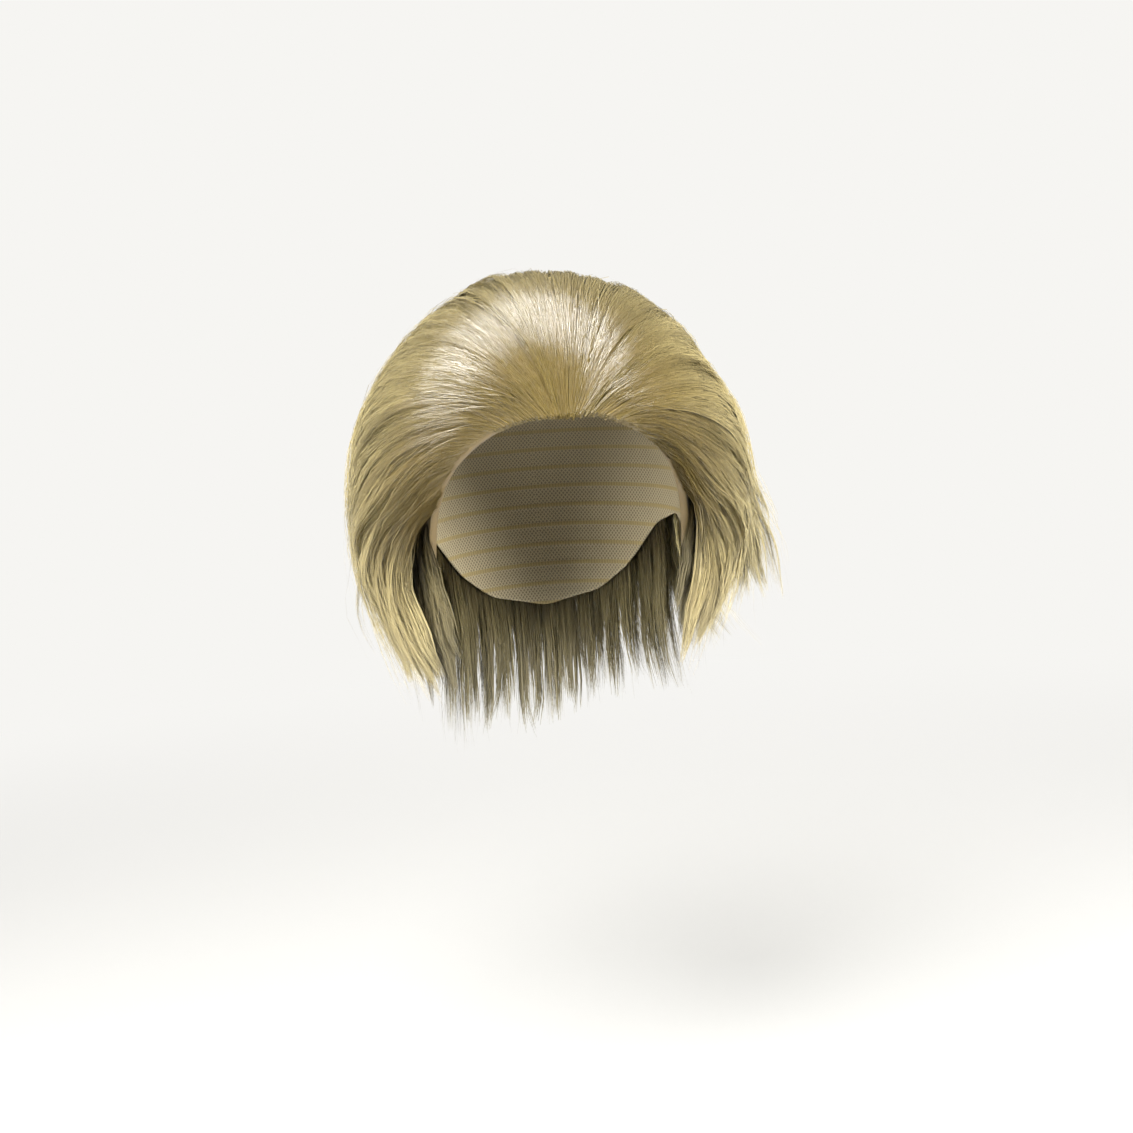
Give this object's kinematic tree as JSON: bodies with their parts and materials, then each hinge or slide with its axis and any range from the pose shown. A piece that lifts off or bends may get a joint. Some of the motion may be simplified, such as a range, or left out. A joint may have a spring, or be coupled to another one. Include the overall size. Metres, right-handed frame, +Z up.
{
  "type": "cosplay wig",
  "caption": "Short swept-back blonde cosplay wig on a net cap, full at the sides, with flared choppy ends on one side and thin ends at the nape.",
  "frame": {"origin": "middle of the head opening, level with the bottom of the ear tabs", "axes": "+Z up through the crown, the face opening towards -Y, the wearer's left towards +X"},
  "size_m": [0.2267, 0.2036, 0.2675],
  "materials": {
    "net": "matt knitted net",
    "ribbon": "satin ribbon",
    "hair": "glossy synthetic fibre",
    "under_hair": "glossy synthetic fibre"
  },
  "bodies": {
    "root": {"cap": "net", "edge_binding": "ribbon", "front_sweep_right": "hair", "crown_hair": "hair", "front_sweep_left": "hair", "side_under_right": "under_hair", "side_under_left": "under_hair", "back_hair": "hair", "nape_hair": "under_hair"}
  },
  "joints": []
}
